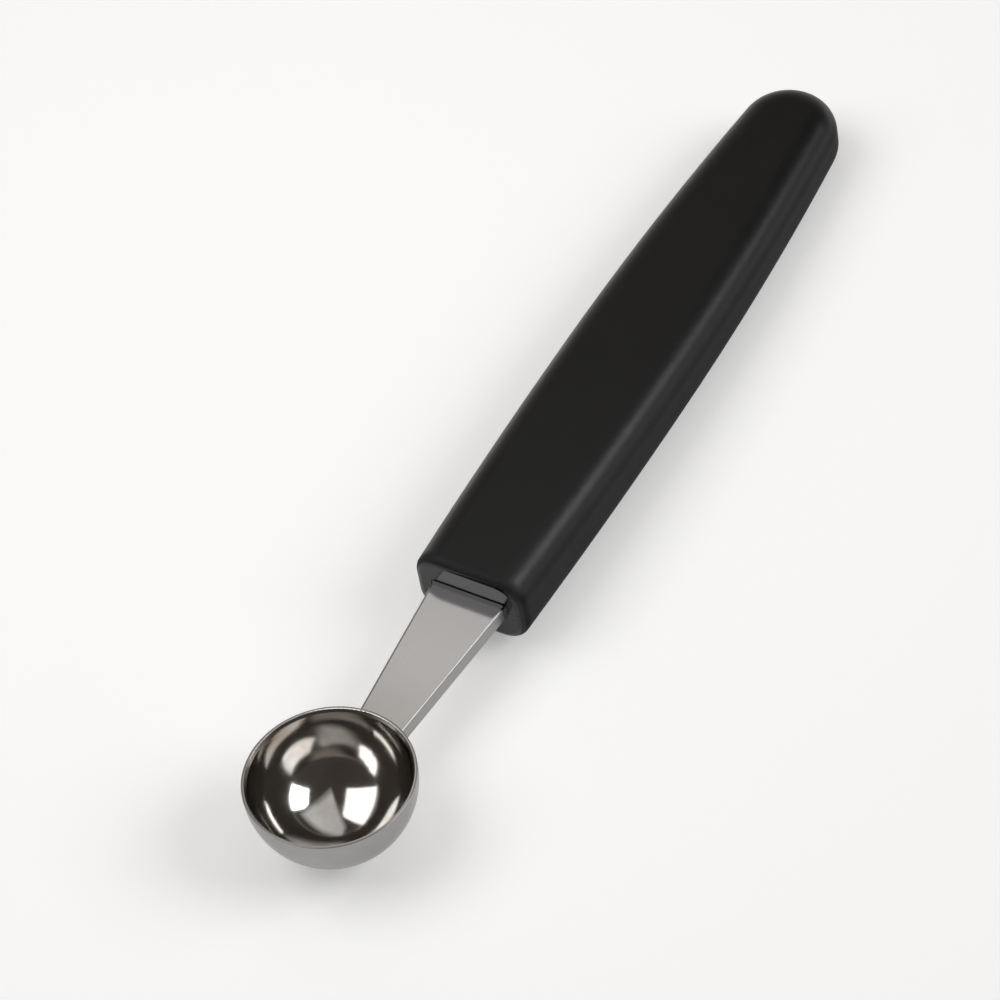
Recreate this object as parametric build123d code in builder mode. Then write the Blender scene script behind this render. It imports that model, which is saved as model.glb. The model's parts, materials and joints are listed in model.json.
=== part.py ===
from build123d import *
import math
import os

# A melon baller: a pressed steel bowl welded to a flat steel shank, whose tang runs into a moulded handle.
# Millimetres. It lies as on a table: the bowl's bottom and the underside of the butt touch the plane Z = 0.
# X runs from the bowl to the butt, and the origin is under the middle of the whole length.
# Places along the tool, and heights, are measured from the centre of the bowl's ball.

# Bowl
bowl_radius = 13.8
bowl_wall = 0.8
bowl_collar = 0.85
rim_land = 0.45
rim_bevel_depth = 0.5
rim_round = 0.12

# Shank, the flat bar from the bowl into the handle
shank_thickness = 2.9
shank_drop = 2.7
shank_root_width = 8.3
shank_mouth_width = 13.3
shank_edge_round = 0.45
shank_buried = 4.0

# Tang, the part of the shank that the handle holds
tang_shoulder_depth = 5.0
tang_shoulder_length = 3.0
tang_width = 9.0
tang_end_width = 6.6
tang_length = 80.0
tang_corner_round = 1.6
anchor_hole_radius = 2.0
anchor_hole_first = 22.0
anchor_hole_pitch = 36.0
anchor_hole_count = 2

# Weld between the shank's end and the bowl
weld_leg = 0.9

# Handle
handle_front = 42.6
handle_length = 117.0
handle_mouth_width = 19.7
handle_widest_width = 22.0
handle_widest_place = 52.4
handle_butt_radius = 8.4
handle_mouth_thickness = 13.8
handle_butt_thickness = 11.7
handle_edge_round = 4.7
handle_mouth_round = 1.4
mould_gap = 0.05
mouth_relief = 0.3
mouth_relief_depth = 1.6

# Heights of the shank and the handle, which share one middle plane
middle_height = -shank_drop - shank_thickness / 2
handle_tip = handle_front + handle_length
thickness_loss = (handle_mouth_thickness - handle_butt_thickness) / 2
underside_angle = math.atan2(thickness_loss, handle_length)

# The floor touches two round things seen from the side: the bowl and the rounded lower edge of the butt
butt_arc_place = handle_tip - handle_edge_round
underside_there = middle_height - handle_butt_thickness / 2 - math.tan(underside_angle) * handle_edge_round
butt_arc_height = underside_there + handle_edge_round / math.cos(underside_angle)
reach = math.hypot(butt_arc_place, butt_arc_height)
lean = math.atan2(butt_arc_height, butt_arc_place) + math.asin((bowl_radius - handle_edge_round) / reach)

# The tool's own directions, leaning down towards the butt
along = Vector(math.cos(lean), 0, -math.sin(lean))
upward = Vector(math.sin(lean), 0, math.cos(lean))
top_arc_height = 2 * middle_height - butt_arc_height
far_end = butt_arc_place * math.cos(lean) + top_arc_height * math.sin(lean) + handle_edge_round
bowl_place = -(far_end - bowl_radius) / 2

ball_plane = Plane(origin=(bowl_place, 0, bowl_radius), x_dir=along, z_dir=upward)
side_plane = Plane(origin=ball_plane.origin, x_dir=along, z_dir=(0, -1, 0))
middle_plane = ball_plane.offset(middle_height)
mouth_plane = Plane(
    origin=middle_plane.from_local_coords((handle_front, 0, 0)),
    x_dir=(0, 1, 0),
    z_dir=along,
)
bowl_axis = Axis(ball_plane.origin, upward)

# Bowl: half a ball in thin sheet, with a short straight collar, its rim ground flat and bevelled inside
inner_radius = bowl_radius - bowl_wall

with BuildPart() as bowl:
    with BuildSketch(side_plane):
        with BuildLine():
            CenterArc((0, 0), bowl_radius, -90, 90)
            Polyline(
                (bowl_radius, 0),
                (bowl_radius, bowl_collar),
                (bowl_radius - rim_land, bowl_collar),
                (inner_radius, bowl_collar - rim_bevel_depth),
                (inner_radius, 0),
            )
            CenterArc((0, 0), inner_radius, -90, 90)
            Line((0, -inner_radius), (0, -bowl_radius))
        make_face()
    revolve(axis=bowl_axis)
    rim_face = bowl.faces().filter_by(GeomType.PLANE).sort_by(Axis.Z)[-1]
    fillet(rim_face.edges(), rim_round)

# Plan of the shank: a wedge that widens to the handle, then a narrower tang with two anchor holes
root_half = shank_root_width / 2
mouth_half = shank_mouth_width / 2
widening = (mouth_half - root_half) / (handle_front - bowl_radius)
buried_place = bowl_radius - shank_buried
buried_half = root_half - widening * shank_buried
shoulder_place = handle_front + tang_shoulder_depth
shoulder_half = mouth_half + widening * tang_shoulder_depth
tang_start = shoulder_place + tang_shoulder_length
tang_end = handle_front + tang_length

with BuildSketch(middle_plane) as shank_plan:
    with BuildLine():
        Polyline(
            (buried_place, 0),
            (buried_place, buried_half),
            (shoulder_place, shoulder_half),
            (tang_start, tang_width / 2),
            (tang_end, tang_end_width / 2),
            (tang_end, 0),
        )
        mirror(about=Plane.XZ)
    make_face()
    fillet(shank_plan.vertices().group_by(Axis.X)[-3:], tang_corner_round)
    for hole_number in range(anchor_hole_count):
        with Locations((handle_front + anchor_hole_first + hole_number * anchor_hole_pitch, 0)):
            Circle(anchor_hole_radius, mode=Mode.SUBTRACT)

with BuildPart() as shank:
    extrude(shank_plan.sketch, amount=shank_thickness / 2, both=True)
    broad_faces = shank.faces().sort_by(SortBy.AREA)[-2:]
    fillet([edge for face in broad_faces for edge in face.outer_wire().edges()], shank_edge_round)
    with Locations(ball_plane):
        Sphere(bowl_radius, mode=Mode.SUBTRACT)

# Weld: metal that fills the corner between the bowl and the shank, all round the shank's end
shank_underside = -shank_drop - shank_thickness
weld_top = -shank_drop + weld_leg
weld_bottom = shank_underside - weld_leg
weld_half = root_half + weld_leg


def ball_reach(height, side=0):
    """Distance along the tool from the bowl's centre to its outer face."""
    return math.sqrt(bowl_radius**2 - height**2 - side**2)


with BuildPart() as weld_bead:
    with BuildSketch(side_plane):
        with BuildLine():
            Polyline(
                (0, weld_top),
                (ball_reach(weld_top), weld_top),
                (ball_reach(shank_drop) + weld_leg, -shank_drop),
                (ball_reach(shank_underside) + weld_leg, shank_underside),
                (ball_reach(weld_bottom), weld_bottom),
                (0, weld_bottom),
                close=True,
            )
        make_face()
    revolve(axis=bowl_axis)
    with BuildSketch(middle_plane):
        with BuildLine():
            Polyline(
                (0, 0),
                (0, weld_half),
                (ball_reach(shank_underside, weld_half), weld_half),
                (bowl_radius + weld_leg, root_half - shank_edge_round),
                (bowl_radius + weld_leg, 0),
            )
            mirror(about=Plane.XZ)
        make_face()
    extrude(amount=shank_thickness / 2 + weld_leg, both=True, mode=Mode.INTERSECT)
    with Locations(ball_plane):
        Sphere(bowl_radius, mode=Mode.SUBTRACT)
    add(shank.part, mode=Mode.SUBTRACT)

# Handle plan: a shallow barrel with a round butt, drawn as arcs that meet smoothly
widest_x = handle_front + handle_widest_place
widest_half = handle_widest_width / 2
butt_x = handle_tip - handle_butt_radius
side_radius = ((butt_x - widest_x) ** 2 + widest_half**2 - handle_butt_radius**2) / (
    2 * (widest_half - handle_butt_radius)
)
side_centre = Vector(widest_x, widest_half - side_radius)
butt_centre = Vector(butt_x, 0)
butt_join = butt_centre + (butt_centre - side_centre).normalized() * handle_butt_radius

with BuildPart() as handle:
    with BuildSketch(middle_plane):
        with BuildLine():
            Line((handle_front, 0), (handle_front, handle_mouth_width / 2))
            TangentArc((widest_x, widest_half), (handle_front, handle_mouth_width / 2), tangent=(-1, 0))
            TangentArc((widest_x, widest_half), butt_join, tangent=(1, 0))
            TangentArc(butt_join, (handle_tip, 0), tangent=(butt_join - side_centre).rotate(Axis.Z, -90))
            mirror(about=Plane.XZ)
        make_face()
    extrude(amount=handle_mouth_thickness, both=True)
    with BuildSketch(side_plane):
        with BuildLine():
            Polyline(
                (handle_front, middle_height + handle_mouth_thickness / 2),
                (handle_tip, middle_height + handle_butt_thickness / 2),
                (handle_tip, middle_height - handle_butt_thickness / 2),
                (handle_front, middle_height - handle_mouth_thickness / 2),
                close=True,
            )
        make_face()
    extrude(amount=handle_widest_width, both=True, mode=Mode.INTERSECT)
    long_faces = handle.faces().filter_by(GeomType.PLANE).sort_by(SortBy.AREA)[-2:]
    long_edges = [edge for face in long_faces for edge in face.edges().sort_by(Axis.X)[1:]]
    fillet(long_edges, handle_edge_round)
    mouth_face = handle.faces().filter_by(GeomType.PLANE).sort_by(Axis.X)[0]
    fillet(mouth_face.edges(), handle_mouth_round)
    with BuildSketch(middle_plane):
        add(shank_plan.sketch_local)
        offset(amount=mould_gap)
    extrude(amount=shank_thickness / 2 + mould_gap, both=True, mode=Mode.SUBTRACT)
    with BuildSketch(mouth_plane):
        Rectangle(shank_mouth_width + 2 * mouth_relief, shank_thickness + 2 * mouth_relief)
    extrude(amount=mouth_relief_depth, mode=Mode.SUBTRACT)

bowl.part.label = "bowl"
shank.part.label = "shank"
weld_bead.part.label = "weld_bead"
handle.part.label = "handle"

os.makedirs("parts", exist_ok=True)
export_step(bowl.part, "parts/bowl.step")
export_step(shank.part, "parts/shank.step")
export_step(weld_bead.part, "parts/weld_bead.step")
export_step(handle.part, "parts/handle.step")
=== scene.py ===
"""A melon baller on a pale floor, in soft studio light. Metres."""

import json
import math

import bpy
from mathutils import Matrix, Quaternion, Vector


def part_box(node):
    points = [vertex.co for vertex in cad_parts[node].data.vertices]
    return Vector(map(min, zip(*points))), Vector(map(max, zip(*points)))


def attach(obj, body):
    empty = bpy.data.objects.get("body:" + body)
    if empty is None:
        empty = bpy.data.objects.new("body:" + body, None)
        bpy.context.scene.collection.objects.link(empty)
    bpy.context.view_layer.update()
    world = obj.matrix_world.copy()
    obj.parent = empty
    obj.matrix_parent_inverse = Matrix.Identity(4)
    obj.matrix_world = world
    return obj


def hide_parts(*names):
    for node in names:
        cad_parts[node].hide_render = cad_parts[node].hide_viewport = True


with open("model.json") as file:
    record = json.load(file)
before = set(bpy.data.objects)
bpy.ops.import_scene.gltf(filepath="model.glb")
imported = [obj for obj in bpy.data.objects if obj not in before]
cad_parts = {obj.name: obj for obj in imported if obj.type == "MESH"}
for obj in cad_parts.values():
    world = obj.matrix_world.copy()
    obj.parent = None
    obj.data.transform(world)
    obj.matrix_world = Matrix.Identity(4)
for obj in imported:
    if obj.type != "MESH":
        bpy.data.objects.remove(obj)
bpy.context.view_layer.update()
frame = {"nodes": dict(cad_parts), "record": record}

# Where the tool lies: its own upward direction is midway between the handle's two flat faces
axis_of = {mount["name"]: Vector(mount["axis"]) for mount in frame["record"]["mounts"]}
upward = (axis_of["handle_top"] - axis_of["handle_underside"]).normalized()
along = Vector((upward.z, 0, -upward.x))
across = Vector((0, 1, 0))
bowl_low, bowl_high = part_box("bowl")
bowl_radius = bowl_high.y
bowl_centre = Vector((bowl_low.x + bowl_radius, 0, bowl_radius))
bowl_wall = 0.0008

# Heights and lengths along the tool, from the centre of the bowl's ball, as the solids have them
middle_height = -0.00415
handle_front = 0.0426
shank_half_thickness = 0.00145
shank_corner = 0.00045
root_half_width = 0.00415
mouth_half_width = 0.00665
weld_leg = 0.0009
lip_reach = 0.00033

# Camera
camera_aim = Vector((-0.00508, 0.01, 0))
camera_azimuth = math.radians(50.85)
camera_elevation = math.radians(50.23)
camera_roll = math.radians(-12.59)
camera_distance = 0.9736
camera_lens = 216
camera_sensor = 36

# Studio: brightness, where a white surface in full light is about 1, and sizes
left_radiance = 2.2
right_radiance = 4.5
card_radiance = 0.72
card_height = 0.3
floor_albedo = 0.88
floor_glow = 0.3
floor_half_size = 6


def add_object(name, data):
    made = bpy.data.objects.new(name, data)
    bpy.context.scene.collection.objects.link(made)
    return made


def direction(azimuth, zenith):
    """A unit vector from its angle round from +X and its angle down from straight up, in degrees."""
    turn, tip = math.radians(azimuth), math.radians(zenith)
    return Vector((math.sin(tip) * math.cos(turn), math.sin(tip) * math.sin(turn), math.cos(tip)))


class Nodes:
    """Builds the nodes of one material or of the world. Its calls return sockets, so that they nest."""

    def __init__(self, name, world=False):
        self.owner = (bpy.data.worlds if world else bpy.data.materials).new(name)
        self.owner.use_nodes = True
        self.tree = self.owner.node_tree
        self.shader = self.tree.nodes["Background" if world else "Principled BSDF"]
        coordinates = self.tree.nodes.new("ShaderNodeTexCoord").outputs
        self.place = coordinates["Generated" if world else "Object"]
        self.normal = coordinates["Normal"]

    def feed(self, socket, value):
        if isinstance(value, bpy.types.NodeSocket):
            self.tree.links.new(value, socket)
        else:
            socket.default_value = value

    def math(self, operation, first, second=0.0, third=0.0):
        node = self.tree.nodes.new("ShaderNodeMath")
        node.operation = operation
        for socket, value in zip(node.inputs, (first, second, third)):
            self.feed(socket, value)
        return node.outputs[0]

    def total(self, base, *parts):
        """A base plus the value of each part times the part's share."""
        for value, share in parts:
            base = self.math("MULTIPLY_ADD", value, share, base)
        return base

    def between(self, factor, first, second):
        """The first value where the factor is 0, and the second where it is 1."""
        return self.total(first, (factor, self.math("SUBTRACT", second, first)))

    def vector(self, operation, first, second=(0, 0, 0), output=0):
        node = self.tree.nodes.new("ShaderNodeVectorMath")
        node.operation = operation
        self.feed(node.inputs[0], first)
        self.feed(node.inputs[1], second)
        return node.outputs[output]

    def combine(self, x, y, z):
        node = self.tree.nodes.new("ShaderNodeCombineXYZ")
        for socket, value in zip(node.inputs, (x, y, z)):
            self.feed(socket, value)
        return node.outputs[0]

    def coordinate(self, axis):
        """Distance in metres from the bowl's centre along one of the tool's own directions."""
        from_centre = self.vector("SUBTRACT", self.place, bowl_centre)
        return self.vector("DOT_PRODUCT", from_centre, axis, output=1)

    def facing(self, axis):
        """How squarely the surface faces along an axis, forwards or backwards, from 0 to 1."""
        return self.math("ABSOLUTE", self.vector("DOT_PRODUCT", self.normal, axis, output=1))

    def ramp(self, value, low, high, low_result=0.0, high_result=1.0):
        """Changes smoothly from one result to the other as the value goes from low to high."""
        node = self.tree.nodes.new("ShaderNodeMapRange")
        node.interpolation_type = "SMOOTHSTEP"
        for socket, given in zip(node.inputs, (value, low, high, low_result, high_result)):
            self.feed(socket, given)
        return node.outputs[0]

    def noise(self, place, scale=1.0, detail=2.0, roughness=0.5):
        """Soft random lumps between 0 and 1, where the scale is the number of lumps per metre."""
        node = self.tree.nodes.new("ShaderNodeTexNoise")
        self.feed(node.inputs["Vector"], place)
        self.feed(node.inputs["Scale"], scale)
        self.feed(node.inputs["Detail"], detail)
        self.feed(node.inputs["Roughness"], roughness)
        return node.outputs["Fac"]

    def mix(self, factor, first, second):
        """Mixes two colours, each given as a socket or as red, green and blue."""
        node = self.tree.nodes.new("ShaderNodeMix")
        node.data_type = "RGBA"
        self.feed(node.inputs["Factor"], factor)
        self.feed(node.inputs["A"], first if isinstance(first, bpy.types.NodeSocket) else (*first, 1))
        self.feed(node.inputs["B"], second if isinstance(second, bpy.types.NodeSocket) else (*second, 1))
        return node.outputs["Result"]

    def bump(self, height, distance, normal=None):
        """A normal for relief as deep as the distance, on top of the given normal's relief."""
        node = self.tree.nodes.new("ShaderNodeBump")
        self.feed(node.inputs["Height"], height)
        self.feed(node.inputs["Distance"], distance)
        if normal:
            self.feed(node.inputs["Normal"], normal)
        return node.outputs[0]

    def finish(self, **inputs):
        for name, value in inputs.items():
            self.feed(self.shader.inputs[name.replace("_", " ")], value)
        return self.owner


def make_camera():
    back = Vector((
        -math.sin(camera_azimuth) * math.cos(camera_elevation),
        -math.cos(camera_azimuth) * math.cos(camera_elevation),
        math.sin(camera_elevation),
    ))
    data = bpy.data.cameras.new("camera")
    data.lens = camera_lens
    data.sensor_width = camera_sensor
    camera = add_object("camera", data)
    camera.location = camera_aim + back * camera_distance
    camera.rotation_mode = "QUATERNION"
    camera.rotation_quaternion = (-back).to_track_quat("-Z", "Y") @ Quaternion((0, 0, 1), camera_roll)
    bpy.context.scene.camera = camera


# Studio
def make_softbox(name, toward, distance, width, height, radiance, side, facing):
    """A rectangular lamp that stands toward one direction from the bowl and shines along facing.

    Its width runs along side.
    """
    data = bpy.data.lights.new(name, "AREA")
    data.shape = "RECTANGLE"
    data.size = width
    data.size_y = height
    data.energy = radiance * math.pi * width * height
    lamp = add_object(name, data)
    lamp.location = bowl_centre + toward * distance
    behind = -facing
    right = (side - behind * side.dot(behind)).normalized()
    lamp.rotation_mode = "QUATERNION"
    lamp.rotation_quaternion = Matrix((right, behind.cross(right), behind)).transposed().to_quaternion()
    lamp.visible_camera = False


def make_lights():
    make_softbox(
        "softbox_left", toward=direction(103.1, 27.4), distance=0.6, width=0.52, height=0.48,
        radiance=left_radiance, side=direction(19.8, 67), facing=direction(-53.2, 124.6),
    )
    make_softbox(
        "softbox_right", toward=direction(-63.9, 50), distance=2.0, width=1.3, height=1.1,
        radiance=right_radiance, side=direction(24.5, 163.4), facing=direction(115.1, 90.2),
    )


def make_card():
    """A pale card above the tool, evenly bright within inner and fading out towards outer.

    Both outlines are places from the bowl's centre, in X and Y.
    """
    inner = ((-0.05, -0.06), (0.12, -0.13), (0.22, -0.15), (0.235, 0.06), (0.24, 0.2), (0.16, 0.14))
    outer = ((-0.13, -0.125), (0.14, -0.2), (0.33, -0.24), (0.345, 0.06), (0.35, 0.24), (0.13, 0.17))
    count = len(inner)
    faces = [tuple(range(count))]
    faces += [(i, (i + 1) % count, (i + 1) % count + count, i + count) for i in range(count)]
    mesh = bpy.data.meshes.new("card")
    mesh.from_pydata([(x, y, 0) for x, y in inner + outer], [], faces)
    glow = mesh.attributes.new("glow", "FLOAT", "POINT")
    glow.data.foreach_set("value", [1] * count + [0] * count)
    card = add_object("card", mesh)
    card.location = bowl_centre + Vector((0, 0, card_height))
    card.visible_camera = card.visible_shadow = False
    nodes = Nodes("card")
    brightness = nodes.tree.nodes.new("ShaderNodeAttribute")
    brightness.attribute_name = "glow"
    strength = nodes.math("MULTIPLY", brightness.outputs["Fac"], card_radiance)
    mesh.materials.append(nodes.finish(
        Base_Color=(0, 0, 0, 1), Specular_IOR_Level=0.0,
        Emission_Color=(1, 0.99, 0.97, 1), Emission_Strength=strength,
    ))


def make_world():
    """A dim warm room, paler at the floor's edge and on the side that the handle points to."""
    floor_edge, room, pale_side = (0.5, 0.49, 0.47), (0.062, 0.054, 0.046), (0.46, 0.4, 0.35)
    nodes = Nodes("studio", world=True)
    height = nodes.vector("DOT_PRODUCT", nodes.place, (0, 0, 1), output=1)
    side = nodes.vector("DOT_PRODUCT", nodes.place, direction(35, 90), output=1)
    color = nodes.mix(nodes.ramp(height, 0.02, 0.25), floor_edge, room)
    color = nodes.mix(nodes.ramp(side, 0.6, 1), color, pale_side)
    bpy.context.scene.world = nodes.finish(Color=color)


def make_floor():
    """A pale floor, whose glow keeps it near white to the camera and in the steel's reflections."""
    size = floor_half_size
    mesh = bpy.data.meshes.new("floor")
    mesh.from_pydata(
        [(-size, -size, 0), (size, -size, 0), (size, size, 0), (-size, size, 0)], [], [(0, 1, 2, 3)]
    )
    floor = add_object("floor", mesh)
    nodes = Nodes("floor")
    rays = nodes.tree.nodes.new("ShaderNodeLightPath").outputs
    seen = nodes.math("MAXIMUM", rays["Is Camera Ray"], rays["Is Glossy Ray"])
    seen = nodes.math("MAXIMUM", seen, rays["Is Transmission Ray"])
    glow = nodes.math("MULTIPLY", seen, floor_glow)
    mesh.materials.append(nodes.finish(
        Base_Color=(floor_albedo, floor_albedo, floor_albedo, 1), Roughness=0.9, Specular_IOR_Level=0.1,
        Emission_Color=(1, 1, 1, 1), Emission_Strength=glow,
    ))


# Materials. In a roughness, the base is the least value, and each share is the most that its noise adds.
def make_polished_steel():
    """Pressed sheet, mirror-polished inside the bowl and satin with fine rings outside, where its colour
    is darkened as painted shade.
    """
    bare, filmed = (0.64, 0.63, 0.61), (0.52, 0.49, 0.46)
    shaded_dark_satin, shaded_pale_satin = (0.3, 0.295, 0.295), (0.37, 0.36, 0.355)
    ring_lumps_per_radian = (1.2, 60, 0)
    nodes = Nodes("polished_steel")
    x, y, z = (nodes.coordinate(axis) for axis in (along, across, upward))
    from_axis = nodes.vector("LENGTH", nodes.combine(x, y, 0), output=1)
    from_centre = nodes.vector("LENGTH", nodes.combine(x, y, z), output=1)
    # The polish changes within the sheet's thickness, so the change shows only on the rim
    outside = nodes.ramp(from_centre, bowl_radius - bowl_wall * 0.4, bowl_radius - bowl_wall * 0.2)
    turn = nodes.math("ARCTAN2", y, x)
    tilt = nodes.math("ARCTAN2", from_axis, z)
    rings = nodes.noise(nodes.vector("MULTIPLY", nodes.combine(turn, tilt, 0), ring_lumps_per_radian))
    clouds = nodes.noise(nodes.place, 260, detail=3)
    waves = nodes.noise(nodes.place, 110, detail=1)
    polish = nodes.total(0.02, (clouds, 0.09), (rings, 0.08))
    satin = nodes.total(0.2, (clouds, 0.1), (rings, 0.1))
    film = nodes.ramp(nodes.noise(nodes.place, 130, detail=5, roughness=0.6), 0.36, 0.66)
    # The outside's colour is painted shade: darker than bare steel, standing in for the shadowed floor
    # that it reflects
    color = nodes.mix(outside, nodes.mix(film, bare, filmed), nodes.mix(clouds, shaded_dark_satin, shaded_pale_satin))
    roughness = nodes.between(outside, polish, satin)
    ring_depth = nodes.total(0.0000003, (outside, 0.0000012))
    normal = nodes.bump(rings, ring_depth, nodes.bump(waves, 0.00003))
    return nodes.finish(Base_Color=color, Metallic=1.0, Roughness=roughness, Normal=normal)


def make_satin_steel():
    """Flat bar, polished along its length, with duller edges whose colour is darkened as painted shade,
    and darker and warmer towards the bowl.
    """
    dark, pale = (0.61, 0.59, 0.59), (0.67, 0.65, 0.65)
    edge, tint = (0.34, 0.335, 0.33), (0.5, 0.48, 0.45)
    tint_start, tint_end, tint_share = 0.012, 0.034, 0.8
    line_lumps_per_metre = (90, 2600, 2600)
    nodes = Nodes("satin_steel")
    x, y, z = (nodes.coordinate(axis) for axis in (along, across, upward))
    stretched = nodes.vector("MULTIPLY", nodes.combine(x, y, z), line_lumps_per_metre)
    lines = nodes.noise(stretched, detail=3, roughness=0.6)
    clouds = nodes.noise(nodes.place, 180, detail=3)
    # Painted shade: the side edges, facing neither up nor down, get the darker edge colour
    broad = nodes.ramp(nodes.facing(upward), 0.88, 0.99)
    # Darker and warmer towards the bowl
    bowl_end_share = nodes.ramp(nodes.total(x, (clouds, 0.006)), tint_start, tint_end, tint_share, 0.0)
    color = nodes.mix(broad, edge, nodes.mix(bowl_end_share, nodes.mix(clouds, dark, pale), tint))
    polish = nodes.total(0.07, (clouds, 0.07), (lines, 0.06))
    dull = nodes.total(0.28, (lines, 0.15))
    roughness = nodes.between(broad, dull, polish)
    normal = nodes.bump(lines, 0.000003)
    return nodes.finish(Base_Color=color, Metallic=1.0, Roughness=roughness, Normal=normal)


def make_weld_steel():
    """Weld metal, dressed by hand, so that it is a little uneven."""
    dark, pale = (0.46, 0.44, 0.41), (0.56, 0.54, 0.51)
    nodes = Nodes("weld_steel")
    grain = nodes.noise(nodes.place, 1500, detail=3)
    lumps = nodes.noise(nodes.place, 500)
    color = nodes.mix(lumps, dark, pale)
    roughness = nodes.total(0.3, (grain, 0.15))
    normal = nodes.bump(grain, 0.00001, nodes.bump(lumps, 0.00008))
    return nodes.finish(Base_Color=color, Metallic=1.0, Roughness=roughness, Normal=normal)


def make_handle_plastic():
    """Black plastic with a fine grain and a parting line, glossier in front, duller on the side walls."""
    black, scuffed = (0.001, 0.0012, 0.0014), (0.0022, 0.0026, 0.003)
    seam_crest, seam_foot = 0.00006, 0.00014
    front_change, rounding_change, wall_change = -0.22, 0.25, 0.4
    nodes = Nodes("handle_plastic")
    grain = nodes.noise(nodes.place, 2800)
    smudges = nodes.noise(nodes.place, 70, detail=4, roughness=0.6)
    scuffs = nodes.noise(nodes.place, 420, detail=3, roughness=0.7)
    from_middle = nodes.math("ABSOLUTE", nodes.math("SUBTRACT", nodes.coordinate(upward), middle_height))
    seam = nodes.ramp(from_middle, seam_crest, seam_foot, 1.0, 0.0)
    color = nodes.mix(scuffs, black, scuffed)
    # What the front face, the rounding behind it and the side walls change in the roughness
    from_front = nodes.math("SUBTRACT", nodes.coordinate(along), handle_front)
    front = nodes.ramp(from_front, 0.00005, 0.0003, front_change, rounding_change)
    past_rounding = nodes.ramp(from_front, 0.001, 0.0025, 0.0, -rounding_change)
    up_or_along = nodes.math("MAXIMUM", nodes.facing(upward), nodes.facing(along))
    wall = nodes.ramp(up_or_along, 0.2, 0.7, wall_change, 0.0)
    roughness = nodes.total(0.3, (scuffs, 0.08), (smudges, 0.14))
    for change in (front, past_rounding, wall):
        roughness = nodes.math("ADD", roughness, change)
    normal = nodes.bump(seam, 0.00005, nodes.bump(grain, 0.000006))
    return nodes.finish(
        Base_Color=color, Roughness=roughness, IOR=1.48, Specular_IOR_Level=0.45, Normal=normal
    )


# Pieces
def section(half_width):
    """Points round the shank's section, from its middle, each with the direction straight out of it."""
    corner_steps, side_steps = 5, 8
    corners = [
        Vector((0, side * (half_width - shank_corner), rise * (shank_half_thickness - shank_corner)))
        for side, rise in ((1, 1), (-1, 1), (-1, -1), (1, -1))
    ]
    points = []
    for quarter, corner in enumerate(corners):
        for step in range(corner_steps + 1):
            angle = math.radians(90 * (quarter + step / corner_steps))
            outward = Vector((0, math.cos(angle), math.sin(angle)))
            points.append((corner + outward * shank_corner, outward))
        following = corners[(quarter + 1) % len(corners)]
        for step in range(1, side_steps):
            points.append((corner.lerp(following, step / side_steps) + outward * shank_corner, outward))
    return points


def make_ring(name, rows, material):
    """Closed ring through rows of points, given along, across and upward from the bowl's centre."""
    sharpest_smooth_angle = math.radians(40)
    columns = len(rows[0])
    points = [bowl_centre + along * x + across * y + upward * z for row in rows for x, y, z in row]
    faces = []
    for row in range(len(rows)):
        start, next_start = row * columns, (row + 1) % len(rows) * columns
        for column in range(columns):
            next_column = (column + 1) % columns
            faces.append(
                (start + column, start + next_column, next_start + next_column, next_start + column)
            )
    mesh = bpy.data.meshes.new(name)
    mesh.from_pydata(points, [], faces)
    mesh.shade_smooth()
    mesh.set_sharp_from_angle(angle=sharpest_smooth_angle)
    mesh.materials.append(material)
    ring = add_object(name, mesh)
    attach(ring, "root")
    return ring


def make_mouth_seal(material):
    """Thin lip of plastic that closes the handle's mouth: round-cornered at the shank, square outside.

    Its profile gives distances out from the shank, and forward from the handle's front face.
    """
    profile = (
        (-0.00005, -0.0003), (lip_reach, -0.0003), (lip_reach, -0.00002),
        (0.00029, 0.00003), (0.00022, 0.00015), (0.00015, 0.0003),
        (0.00008, 0.00045), (0.00001, 0.00058), (-0.00005, 0.0006),
    )
    rows = []
    for point, outward in section(mouth_half_width):
        squareness = 1 / max(abs(outward.y), abs(outward.z)) - 1
        row = []
        for out, forward in profile:
            stretch = squareness * max(out, 0) / lip_reach * (shank_corner + out)
            place = point + outward * (out + stretch)
            row.append(place + Vector((handle_front - forward, 0, middle_height)))
        rows.append(row)
    make_ring("mouth_seal", rows, material)


def make_weld(material):
    """Weld with a hollow face, from its toe on the shank to its crown on the ball, both a little sunk."""
    toe_sunk, crown_sunk, root_sunk = 0.00002, 0.00006, 0.0003
    hollow_share = 0.4
    steps = [step / 8 for step in range(9)]

    def on_ball(place):
        return Vector((math.sqrt(bowl_radius**2 - place.y**2 - place.z**2), place.y, place.z))

    rows = []
    for point, outward in section(root_half_width):
        place = point + Vector((0, 0, middle_height))
        corner = on_ball(place)
        toe = corner + Vector((weld_leg, 0, 0)) - outward * toe_sunk
        crown = on_ball(place + outward * weld_leg) - Vector((crown_sunk, 0, 0))
        hollow = corner.lerp((toe + crown) / 2, hollow_share)
        face = [toe.lerp(hollow, step).lerp(hollow.lerp(crown, step), step) for step in steps]
        rows.append(face + [corner - outward * root_sunk])
    weld = make_ring("weld_face", rows, material)
    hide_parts("weld_bead")


def dress():
    """Gives the solids their materials, and adds the two pieces that are modelled here."""
    nodes = frame["nodes"]
    plastic = make_handle_plastic()
    nodes["bowl"].data.materials[0] = make_polished_steel()
    nodes["shank"].data.materials[0] = make_satin_steel()
    nodes["handle"].data.materials[0] = plastic
    make_mouth_seal(plastic)
    make_weld(make_weld_steel())


make_camera()
make_world()
make_floor()
make_lights()
make_card()
dress()
bpy.context.scene.view_settings.view_transform = "Standard"
